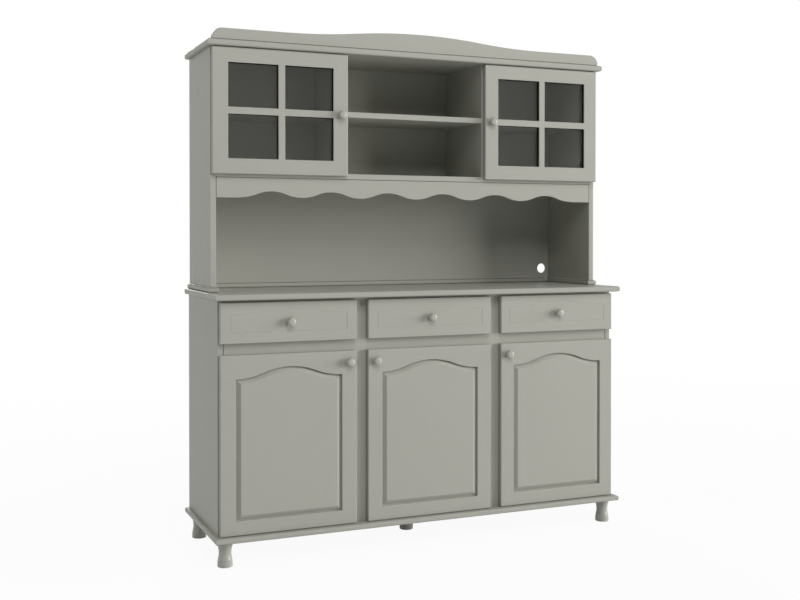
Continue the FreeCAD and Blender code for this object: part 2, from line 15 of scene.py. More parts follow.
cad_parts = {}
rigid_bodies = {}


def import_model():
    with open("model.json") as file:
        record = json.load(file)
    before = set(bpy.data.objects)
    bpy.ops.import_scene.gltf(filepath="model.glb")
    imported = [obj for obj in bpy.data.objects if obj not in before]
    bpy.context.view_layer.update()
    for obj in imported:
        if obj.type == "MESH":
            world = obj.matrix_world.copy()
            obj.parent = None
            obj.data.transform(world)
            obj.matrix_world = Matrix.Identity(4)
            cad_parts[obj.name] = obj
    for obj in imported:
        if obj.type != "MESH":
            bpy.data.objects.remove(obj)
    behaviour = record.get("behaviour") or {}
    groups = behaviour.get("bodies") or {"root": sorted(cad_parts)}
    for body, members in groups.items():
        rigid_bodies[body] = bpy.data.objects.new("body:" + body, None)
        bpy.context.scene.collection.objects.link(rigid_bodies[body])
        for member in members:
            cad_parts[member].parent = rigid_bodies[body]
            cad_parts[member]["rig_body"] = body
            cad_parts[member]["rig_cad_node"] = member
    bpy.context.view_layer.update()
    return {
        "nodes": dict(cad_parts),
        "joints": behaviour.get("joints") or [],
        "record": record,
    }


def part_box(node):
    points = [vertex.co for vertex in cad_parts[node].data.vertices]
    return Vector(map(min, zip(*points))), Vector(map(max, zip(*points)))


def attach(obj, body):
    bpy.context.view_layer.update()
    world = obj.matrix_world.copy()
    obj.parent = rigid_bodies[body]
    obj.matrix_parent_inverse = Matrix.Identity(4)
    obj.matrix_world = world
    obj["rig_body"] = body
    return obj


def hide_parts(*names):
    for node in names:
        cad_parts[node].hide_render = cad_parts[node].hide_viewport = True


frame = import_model()

bl_info = {
    "name": "Dresser with hutch",
    "version": (1, 0, 0),
    "blender": (4, 5, 0),
    "location": "3D View > Sidebar > Dresser",
    "description": "Paints, glazes and fits out a dresser with a hutch",
    "category": "Object",
}

RIGHT = Vector((1, 0, 0))
BACKWARD = Vector((0, 1, 0))
FORWARD = Vector((0, -1, 0))
UP = Vector((0, 0, 1))
WHITE = (1.0, 1.0, 1.0, 1.0)

# Distance within which vertices are merged, and within which coordinates count as the same
MERGED = 1e-6
NEAR = 1e-5

# Which wall carries the hinges of each door
HINGE_WALLS = {
    "left_cupboard_door": "base_left_side",
    "centre_cupboard_door": "hinge_batten",
    "right_cupboard_door": "base_right_side",
    "left_hutch_door": "hutch_left_side",
    "right_hutch_door": "hutch_right_side",
}

# Boards with fine lines along the sides where they meet their neighbours, and how many widths of a line
# each one runs in from the side
JOINT_LINES = {
    "pediment": {"bottom": 0},
    "valance": {"left": 0, "right": 0, "top": 0},
    "hutch_back_rail": {"top": 1},
    "hutch_left_foot": {"top": 1},
    "hutch_right_foot": {"top": 1},
    "mid_rail": {"left": 0, "right": 0},
}

# The fronts that carry a knob
FRONTS = [side + kind for kind in ("_door", "_drawer_front") for side in ("left", "centre", "right")]
FRONTS += ["left_glazed_door", "right_glazed_door"]

# Where each soft lamp stands, how wide and high it is, and whether shiny surfaces mirror it
LAMPS = {
    "right": ((9.8, -4.5, 2.2), (8.5, 4.0), True),
    "left": ((-6.5, 0.6, 3.0), (3.0, 3.0), False),
    "front": ((-0.5, -5.0, 5.2), (3.0, 3.0), False),
    "back": ((0.6, 6.5, 3.2), (3.0, 3.0), True),
}


# Sizes and colours that a user would change


def LengthProperty(label, about, size):
    return FloatProperty(name=label, description=about, unit="LENGTH", default=size, min=0.0, precision=6)


def ShareProperty(label, about, share):
    return FloatProperty(name=label, description=about, subtype="FACTOR", default=share, min=0.0, max=1.0)


def PowerProperty(label, about, watts):
    return FloatProperty(name=label, description=about, unit="POWER", default=watts, min=0.0)


def ColourProperty(label, about, colour):
    return FloatVectorProperty(
        name=label, description=about, subtype="COLOR", default=colour, min=0.0, max=1.0)


class PaintSettings(bpy.types.PropertyGroup):
    """Satin paint on every board, foot and knob."""

    colour: ColourProperty("Paint", "Colour of the satin paint", (0.392, 0.392, 0.350))
    unevenness: ShareProperty("Unevenness", "How much the paint's shade wanders over a board", 0.018)
    roughness: ShareProperty("Roughness", "Roughness of the paint, from glossy to flat", 0.31)
    sheen: ShareProperty("Sheen", "Strength of the paint's reflections", 0.02)
    turned_gloss: ShareProperty("Turned gloss", "Weight of the clear gloss on turned pieces", 0.5)
    film_depth: LengthProperty("Film depth", "Height of the marks that brush and roller leave", 0.000014)
    easing: LengthProperty("Edge easing", "Radius that sanding leaves along the edges of fronts", 0.0007)
    joint_width: LengthProperty("Joint width", "Width of the fine lines where boards meet", 0.0018)
    joint_depth: LengthProperty("Joint depth", "Depth of the fine lines where boards meet", 0.006)


class TurningSettings(bpy.types.PropertyGroup):
    """Outlines of the turned feet and knobs."""

    facets: IntProperty(name="Facets", description="Faces around a turned piece", default=56, min=16)
    toe_radius: LengthProperty("Toe", "Radius of a foot where it meets the floor", 0.0226)
    base_radius: LengthProperty("Base", "Radius of a foot's straight base", 0.0240)
    base_height: LengthProperty("Base height", "Height of a foot's straight base", 0.0155)
    ring_depth: LengthProperty("Ring", "Depth of the step above a foot's base", 0.0006)
    waist_radius: LengthProperty("Waist", "Smallest radius of a foot", 0.0198)
    waist_height: LengthProperty("Waist height", "Height of the waist", 0.0420)
    cap_radius: LengthProperty("Cap", "Radius of a foot under the plinth", 0.0240)
    cap_height: LengthProperty("Cap height", "Height where a foot's cap begins", 0.0680)
    knob_foot: LengthProperty("Knob foot", "Radius of a knob where it meets the front", 0.0078)
    knob_collar: LengthProperty("Knob collar", "Length of a knob's straight foot", 0.0012)
    knob_neck: LengthProperty("Knob neck", "Smallest radius of a knob", 0.0066)
    knob_throat: LengthProperty("Knob throat", "Distance of the neck from the front", 0.0040)
    knob_radius: LengthProperty("Knob", "Largest radius of a knob", 0.0148)
    knob_rim: LengthProperty("Knob rim", "Distance of the rim from the front", 0.0122)
    knob_length: LengthProperty("Knob length", "How far a knob stands out", 0.0235)


class HardwareSettings(bpy.types.PropertyGroup):
    """Colours of wood, metal and glass, and sizes of screws, plates and pads."""

    steel: ColourProperty("Steel", "Colour of zinc-plated steel", (0.62, 0.63, 0.65))
    pine: ColourProperty("Pine", "Colour of the drawer boxes", (0.60, 0.43, 0.25))
    glass: ColourProperty("Glass", "Tint of the panes", (0.745, 0.742, 0.73))
    screw_radius: LengthProperty("Screw head", "Radius of a screw head", 0.0034)
    screw_height: LengthProperty("Screw height", "Height of a screw head", 0.0018)
    plate_thickness: LengthProperty("Sheet steel", "Thickness of hinge flanges and wings", 0.0011)
    pad_radius: LengthProperty("Pad", "Radius of a door's soft pads", 0.0045)
    pad_height: LengthProperty("Pad height", "Thickness of a door's soft pads", 0.0026)


class StageSettings(bpy.types.PropertyGroup):
    """Camera and lamps of the studio."""

    lens: FloatProperty(
        name="Lens", description="Focal length on a 36 mm sensor", unit="CAMERA", default=49.02)
    camera_place: FloatVectorProperty(
        name="Camera", description="Where the camera stands", subtype="TRANSLATION", unit="LENGTH",
        default=(-1.5410, -3.5289, 1.0410))
    camera_turn: FloatProperty(
        name="Turn", description="How far the camera is turned to the right", subtype="ANGLE",
        default=radians(23.2296))
    camera_dip: FloatProperty(
        name="Dip", description="How far the camera looks down", subtype="ANGLE",
        default=radians(0.6008))
    rise: FloatProperty(
        name="Lens shift", description="Upright shift of the lens, as a share of the picture's width",
        default=-0.0671)
    right_power: PowerProperty("Right lamp", "Power of the wide soft lamp at the right", 1260.0)
    left_power: PowerProperty("Left lamp", "Power of the soft lamp at the left", 119.0)
    front_power: PowerProperty("Front lamp", "Power of the soft lamp high in front", 166.0)
    back_power: PowerProperty("Back lamp", "Power of the soft lamp behind", 230.0)
    surround: ShareProperty("Surround", "Strength of the even light from all round", 0.09)


# Small steps of modelling that several pieces share


def set_free():
    """Leave edit mode and select nothing."""
    if bpy.context.mode != "OBJECT":
        bpy.ops.object.mode_set(mode="OBJECT")
    bpy.ops.object.select_all(action="DESELECT")


def choose(piece):
    """Select one piece alone and make it the active one."""
    set_free()
    piece.select_set(True)
    bpy.context.view_layer.objects.active = piece


def rename(piece, name):
    """Give a piece and its mesh the same name."""
    piece.name = name
    piece.data.name = name


def open_up(piece):
    """Open a piece for editing, all of it selected."""
    choose(piece)
    bpy.ops.object.mode_set(mode="EDIT")
    bpy.ops.mesh.select_all(action="SELECT")


def settle():
    """Put place, turn and scale of the selected piece into its mesh."""
    bpy.ops.object.transform_apply(location=True, rotation=True, scale=True)


def pick(piece, kind, test):
    """In edit mode, select the faces, edges or vertices that pass the test."""
    bpy.ops.mesh.select_mode(type=kind)
    bpy.ops.mesh.select_all(action="DESELECT")
    mesh = bmesh.from_edit_mesh(piece.data)
    for part in {"FACE": mesh.faces, "EDGE": mesh.edges, "VERT": mesh.verts}[kind]:
        part.select_set(bool(test(part)))
    mesh.select_flush_mode()
    bmesh.update_edit_mesh(piece.data)


def runs_along(edge, axis):
    """Whether an edge lies along an axis."""
    return abs((edge.verts[0].co - edge.verts[1].co).normalized()[axis]) > 0.9


def finish_piece(piece, smooth_angle=radians(35)):
    """Turn all faces outwards, put the place into the mesh and smooth the round faces."""
    open_up(piece)
    bpy.ops.mesh.remove_doubles(threshold=MERGED)
    bpy.ops.mesh.normals_make_consistent(inside=False)
    bpy.ops.object.mode_set(mode="OBJECT")
    settle()
    bpy.ops.object.shade_smooth_by_angle(angle=smooth_angle)
    return piece


def disc_piece(name, facets, radius):
    """A flat disc round the origin, open for further work in edit mode."""
    set_free()
    bpy.ops.mesh.primitive_circle_add(vertices=facets, radius=radius, fill_type="NGON", location=(0, 0, 0))
    piece = bpy.context.object
    rename(piece, name)
    open_up(piece)
    return piece


def turn_piece(name, outline, facets):
    """Raise a round piece ring by ring along Z, from the outline's radii and heights."""
    radius, height = outline[0]
    piece = disc_piece(name, facets, radius)
    for next_radius, next_height in outline[1:]:
        bpy.ops.mesh.extrude_region_move(TRANSFORM_OT_translate={"value": (0, 0, next_height - height)})
        growth = next_radius / radius
        bpy.ops.transform.resize(value=(growth, growth, 1), center_override=(0, 0, next_height))
        radius, height = next_radius, next_height
    return finish_piece(piece)


def box_piece(name, corner, opposite):
    """A block between two opposite corners, open for further work in edit mode."""
    set_free()
    bpy.ops.mesh.primitive_cube_add(size=1, location=[(a + b) / 2 for a, b in zip(corner, opposite)])
    piece = bpy.context.object
    piece.scale = [abs(b - a) for a, b in zip(corner, opposite)]
    settle()
    rename(piece, name)
    open_up(piece)
    return piece


def modify(piece, kind, **settings):
    """Put a modifier on a piece and apply it."""
    choose(piece)
    modifier = piece.modifiers.new(kind.lower(), kind)
    for key, value in settings.items():
        setattr(modifier, key, value)
    bpy.ops.object.modifier_apply(modifier=modifier.name)


def cut_away(piece, cutter):
    """Cut one piece out of another and remove the cutter."""
    modify(piece, "BOOLEAN", operation="DIFFERENCE", solver="EXACT", object=cutter)
    bpy.data.objects.remove(cutter)


def merged_copy(node, name):
    """A copy of a node of the frame, its loose faces merged, open in edit mode."""
    choose(frame["nodes"][node])
    bpy.ops.object.duplicate()
    piece = bpy.context.object
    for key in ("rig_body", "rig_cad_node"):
        del piece[key]
    piece.parent = None
    rename(piece, name)
    open_up(piece)
    bpy.ops.mesh.customdata_custom_splitnormals_clear()
    bpy.ops.mesh.remove_doubles(threshold=MERGED)
    return piece


def merge_flat_faces():
    """In edit mode, take out the edges between faces that lie in one plane."""
    bpy.ops.mesh.select_all(action="SELECT")
    bpy.ops.mesh.dissolve_limited(angle_limit=radians(0.3))


def level_normals(piece):
    """Keep flat faces flat beside small rounded edges."""
    choose(piece)
    bpy.ops.object.shade_smooth_by_angle(angle=radians(40))
    modify(piece, "WEIGHTED_NORMAL", keep_sharp=True)


def placed_copy(pattern, point, turn):
    """A copy of a pattern, turned and then moved to a point."""
    choose(pattern)
    bpy.ops.object.duplicate()
    copy = bpy.context.object
    copy.matrix_world = Matrix.LocRotScale(point, turn, None)
    settle()
    return copy


def join(pieces, name):
    """Make one piece of several."""
    set_free()
    for piece in pieces:
        piece.select_set(True)
    bpy.context.view_layer.objects.active = pieces[0]
    if len(pieces) > 1:
        bpy.ops.object.join()
    rename(pieces[0], name)
    return pieces[0]


def place_copies(pattern, places, name):
    """Copy a pattern, modelled along Z, to each point and direction, and join the copies."""
    return join([placed_copy(pattern, point, UP.rotation_difference(direction))
                 for point, direction in places], name)


def fit(piece, body, material):
    """Give a finished piece its body and its finish."""
    piece.data.materials.clear()
    piece.data.materials.append(material)
    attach(piece, body)


def body_of(node):
    """The body that a node of the frame moves with."""
    return frame["nodes"][node]["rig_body"]


def corners_of(node):
    """Every corner of a node's mesh."""
    return [vertex.co for vertex in frame["nodes"][node].data.vertices]


def longest_axis(node):
    """The axis that a board runs along."""
    low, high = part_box(node)
    return max("xyz", key=lambda axis: getattr(high - low, axis))


def eased(share):
    """An even S-shaped rise from 0 to 1."""
    return (1 - cos(pi * share)) / 2


def shares(count):
    """Even steps from just above 0 up to 1."""
    return [(step + 1) / count for step in range(count)]


def curve(start, end, count, rise=eased):
    """Points of an outline after one radius and height, up to another."""
    return [(start[0] + rise(share) * (end[0] - start[0]), start[1] + share * (end[1] - start[1]))
            for share in shares(count)]


# Shader nodes, and groups that several finishes share


def made_once(store):
    """Let a group or a finish be built only when it is first asked for, under its function's name."""
    def keep(build):
        def get(*details):
            name = "_".join((build.__name__,) + details)
            return getattr(bpy.data, store).get(name) or build(name, *details)
        return get
    return keep


def lead(tree, values, sockets):
    """Give each socket its plain value, or the link that feeds it."""
    for key, value in values.items():
        if isinstance(value, bpy.types.NodeSocket):
            tree.links.new(value, sockets[key])
        else:
            sockets[key].default_value = value


def add(tree, kind, inputs=None, **settings):
    """Add a shader node with its settings and with values or links for its inputs."""
    made = tree.nodes.new(kind)
    for key, value in settings.items():
        setattr(made, key, value)
    lead(tree, inputs or {}, made.inputs)
    return made


COLOUR, VALUE, DIRECTION = "NodeSocketColor", "NodeSocketFloat", "NodeSocketVector"
MIX_FACTOR, MIX_VALUE_A, MIX_VALUE_B, MIX_COLOUR_A, MIX_COLOUR_B, MIXED_COLOUR = 0, 2, 3, 6, 7, 2


def new_group(name, inputs):
    """An empty shader group; returns its tree, what it is given and what it gives."""
    tree = bpy.data.node_groups.new(name, "ShaderNodeTree")
    for label, kind in inputs.items():
        tree.interface.new_socket(label, in_out="INPUT", socket_type=kind)
    for label, kind in (("Colour", COLOUR), ("Roughness", VALUE), ("Height", VALUE)):
        tree.interface.new_socket(label, in_out="OUTPUT", socket_type=kind)
    return tree, tree.nodes.new("NodeGroupInput").outputs, tree.nodes.new("NodeGroupOutput").inputs


def noise(tree, scale, detail, stretch=None):
    """Noise on the object's own coordinates, drawn out along a board where a stretch is given."""
    place, roughness = add(tree, "ShaderNodeTexCoord").outputs["Object"], 0.5
    if stretch is not None:
        drawn_out = add(tree, "ShaderNodeVectorMath", {0: place, 1: stretch}, operation="MULTIPLY")
        place, roughness = drawn_out.outputs[0], 0.55
    values = {"Vector": place, "Scale": scale, "Detail": detail, "Roughness": roughness}
    return add(tree, "ShaderNodeTexNoise", values).outputs["Fac"]


def average(tree, first, second, share):
    """Two values blended, with share of the second."""
    values = {MIX_FACTOR: share, MIX_VALUE_A: first, MIX_VALUE_B: second}
    return add(tree, "ShaderNodeMix", values, data_type="FLOAT").outputs[0]


def between(tree, value, low, high, span=(0.3, 0.7)):
    """Spread a value over the range from low to high; the plain span is the middle of a noise."""
    values = {"Value": value, "From Min": span[0], "From Max": span[1], "To Min": low, "To Max": high}
    return add(tree, "ShaderNodeMapRange", values).outputs["Result"]


def calculated(tree, operation, first, second=0.0):
    """One step of arithmetic."""
    return add(tree, "ShaderNodeMath", {0: first, 1: second}, operation=operation).outputs[0]


@made_once("node_groups")
def coating_film(name):
    """Marks that brush, roller and drying leave in a film of paint or plating."""
    tree, given, result = new_group(name, {
        "Colour": COLOUR, "Stretch": DIRECTION, "Darkest": VALUE, "Lightest": VALUE,
        "Smoothest": VALUE, "Roughest": VALUE, "Stipple": VALUE})
    strokes = noise(tree, 1.0, 4.0, given["Stretch"])
    cloud = noise(tree, 3.2, 2.0)
    stipple = noise(tree, given["Stipple"], 1.0)
    shade = between(tree, average(tree, cloud, strokes, 0.35), given["Darkest"], given["Lightest"])
    gloss = between(tree, average(tree, strokes, cloud, 0.4), given["Smoothest"], given["Roughest"])
    scaling = {"Vector": given["Colour"], "Scale": shade}
    colour = add(tree, "ShaderNodeVectorMath", scaling, operation="SCALE").outputs["Vector"]
    height = average(tree, strokes, stipple, 0.45)
    lead(tree, {"Colour": colour, "Roughness": gloss, "Height": height}, result)
    return tree


@made_once("node_groups")
def sawn_grain(name):
    """Growth rings and pores of a sawn softwood board."""
    tree, given, result = new_group(
        name, {"Early wood": COLOUR, "Late wood": COLOUR, "Stretch": DIRECTION})
    rings = noise(tree, 0.35, 3.0, given["Stretch"])
    pores = noise(tree, 6.0, 2.0, given["Stretch"])
    wave = calculated(tree, "SINE", calculated(tree, "MULTIPLY", rings, 46.0))
    late = between(tree, wave, 0.0, 1.0, (-0.4, 1.0))
    height = average(tree, late, pores, 0.3)
    tone = add(tree, "ShaderNodeMix", {
        MIX_FACTOR: height, MIX_COLOUR_A: given["Early wood"], MIX_COLOUR_B: given["Late wood"]},
        data_type="RGBA")
    roughness = between(tree, pores, 0.42, 0.6)
    lead(tree, {"Colour": tone.outputs[MIXED_COLOUR], "Roughness": roughness, "Height": height}, result)
    return tree


# Finishes


def new_material(name):
    """A new material, its tree and its shader."""
    material = bpy.data.materials.new(name)
    material.use_nodes = True
    return material, material.node_tree, material.node_tree.nodes["Principled BSDF"]


def show_either(tree, share, first, second):
    """Show one shader, or another as far as the share says."""
    choice = add(tree, "ShaderNodeMixShader", {0: share, 1: first, 2: second})
    lead(tree, {"Surface": choice.outputs["Shader"]}, tree.nodes["Material Output"].inputs)


def along(axis, lengthwise, across):
    """How often a pattern repeats along a board and across it, per metre."""
    return [lengthwise if letter == axis else across for letter in "xyz"]


def dress(tree, shader, group, depth):
    """Lead a group's colour, roughness and height into a shader."""
    made = group.outputs
    bump = add(tree, "ShaderNodeBump", {"Strength": 1.0, "Distance": depth, "Height": made["Height"]})
    lead(tree, {"Base Color": made["Colour"], "Roughness": made["Roughness"],
                "Normal": bump.outputs["Normal"]}, shader.inputs)


def film(tree, colour, stretch, shades, gloss, stipple):
    """A film from its darkest to its lightest shade and from its smoothest to its roughest gloss."""
    values = {"Colour": (*colour, 1.0), "Stretch": stretch, "Darkest": shades[0], "Lightest": shades[1],
              "Smoothest": gloss[0], "Roughest": gloss[1], "Stipple": stipple}
    return add(tree, "ShaderNodeGroup", values, node_tree=coating_film())


def coated(name, colour, shades, gloss, stipple, depth, axis="z", plain=None):
    """A film of paint, plating or rubber over a surface, with strokes along one axis."""
    material, tree, shader = new_material(name)
    dress(tree, shader, film(tree, colour, along(axis, 2.5, 70.0), shades, gloss, stipple), depth)
    lead(tree, plain or {}, shader.inputs)
    return material


def painted(name, axis, plain):
    """The grey-green paint, brushed along one axis."""
    paint = bpy.context.scene.dresser_paint
    shades = (1 - paint.unevenness, 1 + paint.unevenness)
    gloss = (paint.roughness - 0.05, paint.roughness + 0.06)
    plain["Specular IOR Level"] = paint.sheen
    return coated(name, paint.colour, shades, gloss, 700.0, paint.film_depth, axis, plain)


@made_once("materials")
def satin_paint(name, axis):
    """The paint on boards, which dries to a dull satin."""
    return painted(name, axis, {})


@made_once("materials")
def turned_paint(name):
    """The same paint on turned pieces, where it dries to a clearer gloss."""
    gloss = bpy.context.scene.dresser_paint.turned_gloss
    return painted(name, "z", {"Coat Weight": gloss, "Coat Roughness": 0.12})


@made_once("materials")
def zinc_steel(name):
    """Bright zinc plating with faint rolling marks."""
    colour = bpy.context.scene.dresser_hardware.steel
    return coated(name, colour, (0.82, 1.1), (0.24, 0.42), 900.0, 0.00001, plain={"Metallic": 1.0})


@made_once("materials")
def soft_rubber(name):
    """Milky rubber of the door pads."""
    return coated(name, (0.62, 0.61, 0.58), (0.92, 1.05), (0.35, 0.5), 1500.0, 0.00002)


@made_once("materials")
def dark_rubber(name):
    """Dull black rubber of the glass seals; its black is painted shade, standing in for the shade in the
    pane reveals.
    """
    return coated(name, (0.016, 0.016, 0.015), (0.9, 1.1), (0.7, 0.85), 1500.0, 0.00002,
                  plain={"Specular IOR Level": 0.04})


@made_once("materials")
def lacquered_pine(name):
    """Clear-lacquered pine of the drawer boxes, with the grain along Y."""
    material, tree, shader = new_material(name)
    red, green, blue = bpy.context.scene.dresser_hardware.pine
    grain = add(tree, "ShaderNodeGroup", {
        "Early wood": (1.12 * red, 1.12 * green, 1.12 * blue, 1.0),
        "Late wood": (0.80 * red, 0.72 * green, 0.62 * blue, 1.0),
        "Stretch": along("y", 1.6, 42.0)}, node_tree=sawn_grain())
    dress(tree, shader, grain, 0.00005)
    lead(tree, {"Coat Weight": 0.25, "Coat Roughness": 0.3}, shader.inputs)
    return material


@made_once("materials")
def float_glass(name):
    """Clear float glass with a faint film; lamps shine through it."""
    material, tree, shader = new_material(name)
    tint = bpy.context.scene.dresser_hardware.glass
    faint = film(tree, tint, along("z", 4.0, 18.0), (0.97, 1.0), (0.0, 0.03), 60.0)
    lead(tree, {"Base Color": faint.outputs["Colour"], "Roughness": faint.outputs["Roughness"],
                "Transmission Weight": 1.0, "IOR": 1.32}, shader.inputs)
    shadow = add(tree, "ShaderNodeLightPath").outputs["Is Shadow Ray"]
    clear = add(tree, "ShaderNodeBsdfTransparent", {"Color": (*tint, 1.0)})
    show_either(tree, shadow, shader.outputs["BSDF"], clear.outputs["BSDF"])
    return material


# Operators, one for each group of like pieces


class DRESSER_OT_boards(bpy.types.Operator):
    """Paint, lacquer, plate or glaze every piece of the frame"""

    bl_idname = "dresser.boards"
    bl_label = "Finish the boards"

    plain_finishes = {"pale_wood": lacquered_pine, "zinc_steel": zinc_steel, "clear_glass": float_glass}

    def execute(self, context):
        for part in frame["record"]["subparts"]:
            node, slot = part["node"], part["material_slot"]
            painted = slot == "painted_wood"
            finish = satin_paint(longest_axis(node)) if painted else self.plain_finishes[slot]()
            materials = frame["nodes"][node].data.materials
            materials.clear()
            materials.append(finish)
        return {"FINISHED"}


class DRESSER_OT_joints(bpy.types.Operator):
    """Open fine lines where boards meet"""

    bl_idname = "dresser.joints"
    bl_label = "Joint lines"

    def saw(self, low, high, side, widths_in, paint):
        """A ring round the board along one side, so that the board still stands on its core."""
        axis = 0 if side in ("left", "right") else 2
        around = Vector((paint.joint_depth,) * 3)
        around[axis] = 0.0
        corner, opposite = low - around, high + around
        edge, width = low[axis], paint.joint_width
        if side in ("right", "top"):
            edge, width = high[axis], -paint.joint_width
        corner[axis] = edge + widths_in * width
        opposite[axis] = corner[axis] + width
        ring = box_piece("saw", corner, opposite)
        core = box_piece("core", low + around, high - around)
        bpy.ops.transform.resize(value=[2.0 if i == axis else 1.0 for i in range(3)])
        cut_away(ring, core)
        return ring

    def execute(self, context):
        paint = context.scene.dresser_paint
        for node, sides in JOINT_LINES.items():
            low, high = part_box(node)
            board = merged_copy(node, node + "_board")
            merge_flat_faces()
            for side, widths_in in sides.items():
                cut_away(board, self.saw(low, high, side, widths_in, paint))
            level_normals(board)
            fit(board, body_of(node), satin_paint(longest_axis(node)))
            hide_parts(node)
        return {"FINISHED"}


class DRESSER_OT_feet(bpy.types.Operator):
    """Turn the five feet"""

    bl_idname = "dresser.feet"
    bl_label = "Turned feet"

    def outline(self, shape, height):
        """Rounded toe, straight base with a fine step, hollow waist and flared cap."""
        rounding = shape.base_radius - shape.toe_radius
        base = [(shape.toe_radius, 0.0)]
        base += [(shape.toe_radius + rounding * sin(share * pi / 2),
                  rounding * (1 - cos(share * pi / 2))) for share in shares(4)]
        shoulder = (shape.base_radius - shape.ring_depth, shape.base_height + shape.ring_depth)
        waist = (shape.waist_radius, shape.waist_height)
        cap = (shape.cap_radius, shape.cap_height)
        base += [(shape.base_radius, shape.base_height), shoulder]
        flare = curve(waist, cap, 8, rise=lambda share: share ** 2)
        return base + curve(shoulder, waist, 10) + flare + [(shape.cap_radius, height)]

    def execute(self, context):
        shape = context.scene.dresser_turning
        low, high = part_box("turned_feet")
        radius = max(corner.x for corner in corners_of("turned_feet") if abs(corner.x) < high.x / 2)
        foot_x = high.x - radius
        front, rear = low.y + radius, high.y - radius
        centres = [(side * foot_x, y) for side in (-1, 1) for y in (front, rear)]
        centres.append((0.0, (front + rear) / 2))
        foot = turn_piece("foot_pattern", self.outline(shape, high.z), shape.facets)
        feet = place_copies(foot, [(Vector((x, y, 0)), UP) for x, y in centres], "lathe_turned_feet")
        bpy.data.objects.remove(foot)
        fit(feet, "cabinet", turned_paint())
        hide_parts("turned_feet")
        return {"FINISHED"}


def knob_axis(node, depth):
    """The point on the axis of a front's knob at a depth."""
    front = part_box(node)[0].y
    tip = [corner for corner in corners_of(node) if corner.y < front + NEAR]
    x, z = ((min(values) + max(values)) / 2 for values in ([p.x for p in tip], [p.z for p in tip]))
    return Vector((x, depth, z))


class DRESSER_OT_fronts(bpy.types.Operator):
    """Ease the edges of doors and drawer fronts, and turn their knobs"""

    bl_idname = "dresser.fronts"
    bl_label = "Fronts and knobs"

    arris_angle = radians(21)
    slope_step = 0.02
    border = 0.004
    knob_clearance = 1e-4

    def outline(self, shape):
        """Small foot, hollow neck, wide rim and domed face."""
        collar = (shape.knob_foot, shape.knob_collar)
        throat = (shape.knob_neck, shape.knob_throat)
        rim = (shape.knob_radius, shape.knob_rim)
        dome = [(shape.knob_radius * max(0.02, cos(share * pi / 2) ** 0.5),
                 shape.knob_rim + sin(share * pi / 2) * (shape.knob_length - shape.knob_rim))
                for share in shares(14)]
        return [(shape.knob_foot, 0.0), collar] + curve(collar, throat, 4) + curve(throat, rim, 8) + dome

    def leaf(self, node, front_y, easing):
        """The front without its plain knob, its edges eased by sanding."""
        piece = merged_copy(node, node + ("_frame" if "glazed" in node else "_leaf"))
        pick(piece, "VERT", lambda vertex: vertex.co.y < front_y - self.knob_clearance)
        bpy.ops.mesh.select_linked()
        bpy.ops.mesh.delete(type="VERT")
        merge_flat_faces()
        pick(piece, "EDGE", self.is_slope)
        bpy.ops.mesh.mark_sharp()
        low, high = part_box(node)
        pick(piece, "EDGE", lambda edge: self.is_arris(edge, low, high, "drawer" in node))
        bpy.ops.transform.edge_bevelweight(value=1)
        modify(piece, "BEVEL", width=easing, segments=2, limit_method="WEIGHT")
        level_normals(piece)
        return piece

    def is_slope(self, edge):
        """Where a routed slope meets the flat face."""
        if len(edge.link_faces) != 2 or edge.calc_face_angle() > self.arris_angle:
            return False
        first, second = edge.link_faces
        return abs(first.normal.y - second.normal.y) > self.slope_step

    def is_arris(self, edge, low, high, border_only):
        """A sharp corner that sanding takes off; the fine line of a drawer stays as it is."""
        if len(edge.link_faces) != 2 or edge.calc_face_angle() < self.arris_angle:
            return False
        middle = (edge.verts[0].co + edge.verts[1].co) / 2
        from_border = min(middle.x - low.x, high.x - middle.x, middle.z - low.z, high.z - middle.z)
        return from_border < self.border or not border_only

    def execute(self, context):
        shape = context.scene.dresser_turning
        knob = turn_piece("knob_pattern", self.outline(shape), shape.facets)
        for node in FRONTS:
            front_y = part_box(node)[0].y + shape.knob_length
            leaf = self.leaf(node, front_y, context.scene.dresser_paint.easing)
            fit(leaf, body_of(node), satin_paint(longest_axis(node)))
            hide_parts(node)
            places = [(knob_axis(node, front_y), FORWARD)]
            turned = place_copies(knob, places, node.replace("_front", "") + "_knob")
            fit(turned, body_of(node), turned_paint())
        bpy.data.objects.remove(knob)
        return {"FINISHED"}


def screw_pattern(hardware, scale=1.0):
    """A pan-head screw with a cross recess, its head up."""
    radius, height = scale * hardware.screw_radius, scale * hardware.screw_height
    rim, dome_angle = 0.3 * height, 1.1
    arm, half, floor = 0.55 * radius, 0.12 * radius, 0.45 * height
    outline = [(0.98 * radius, 0.0), (radius, rim)]
    outline += [(radius * cos(share * dome_angle),
                 rim + (height - rim) * sin(share * dome_angle) / sin(dome_angle))
                for share in shares(3)]
    screw = turn_piece("screw_pattern", outline, facets=18)
    for wide, deep in ((arm, half), (half, arm)):
        cut_away(screw, box_piece("recess", (-wide, -deep, floor), (wide, deep, 1.5 * height)))
    return finish_piece(screw, radians(30))


